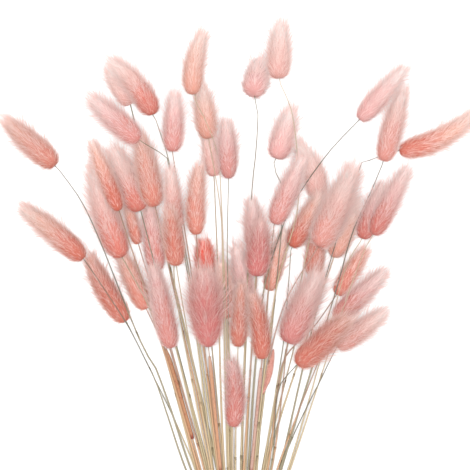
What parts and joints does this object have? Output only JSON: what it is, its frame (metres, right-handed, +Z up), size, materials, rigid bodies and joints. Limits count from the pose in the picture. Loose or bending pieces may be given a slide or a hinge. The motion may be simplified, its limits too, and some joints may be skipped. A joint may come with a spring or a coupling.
{
  "type": "dried bunny tail grass bunch",
  "caption": "Tied bunch of dyed, dried bunny tail grass lying on its side: thin straw stems with soft, furry, oval heads that fan out in shades of pink.",
  "frame": {"origin": "on the surface the bunch lies on, under the middle of its box", "axes": "+Y along the stems from the tie to the heads, +X across the fan of heads, +Z up from the surface"},
  "size_m": [0.355, 0.479, 0.0806],
  "materials": {
    "pale_grass": "matte",
    "pink_grass": "matte",
    "salmon_grass": "matte",
    "coral_grass": "matte",
    "twine": "matte"
  },
  "bodies": {
    "root": {"stalk_01": "coral_grass", "stalk_02": "salmon_grass", "stalk_03": "coral_grass", "stalk_04": "pale_grass", "stalk_05": "pale_grass", "stalk_06": "coral_grass", "stalk_07": "coral_grass", "stalk_08": "pink_grass", "stalk_09": "pink_grass", "stalk_10": "salmon_grass", "stalk_11": "pale_grass", "stalk_12": "salmon_grass", "stalk_13": "pale_grass", "stalk_14": "coral_grass", "stalk_15": "coral_grass", "stalk_16": "pale_grass", "stalk_17": "pink_grass", "stalk_18": "salmon_grass", "stalk_19": "salmon_grass", "stalk_20": "pink_grass", "stalk_21": "pale_grass", "stalk_22": "coral_grass", "stalk_23": "pale_grass", "stalk_24": "pink_grass", "stalk_25": "pale_grass", "stalk_26": "pink_grass", "stalk_27": "pale_grass", "stalk_28": "coral_grass", "stalk_29": "pink_grass", "stalk_30": "pale_grass", "stalk_31": "pink_grass", "stalk_32": "pink_grass", "stalk_33": "salmon_grass", "stalk_34": "salmon_grass", "stalk_35": "pink_grass", "stalk_36": "coral_grass", "stalk_37": "coral_grass", "stalk_38": "pink_grass", "stalk_39": "pink_grass", "stalk_40": "pink_grass", "stalk_41": "salmon_grass", "stalk_42": "coral_grass", "stalk_43": "pink_grass", "stalk_44": "pale_grass", "stalk_45": "pale_grass", "stalk_46": "coral_grass", "stalk_47": "coral_grass", "stalk_48": "salmon_grass", "stalk_49": "salmon_grass", "stalk_50": "coral_grass", "stalk_51": "pink_grass", "twine_tie": "twine"}
  },
  "joints": []
}
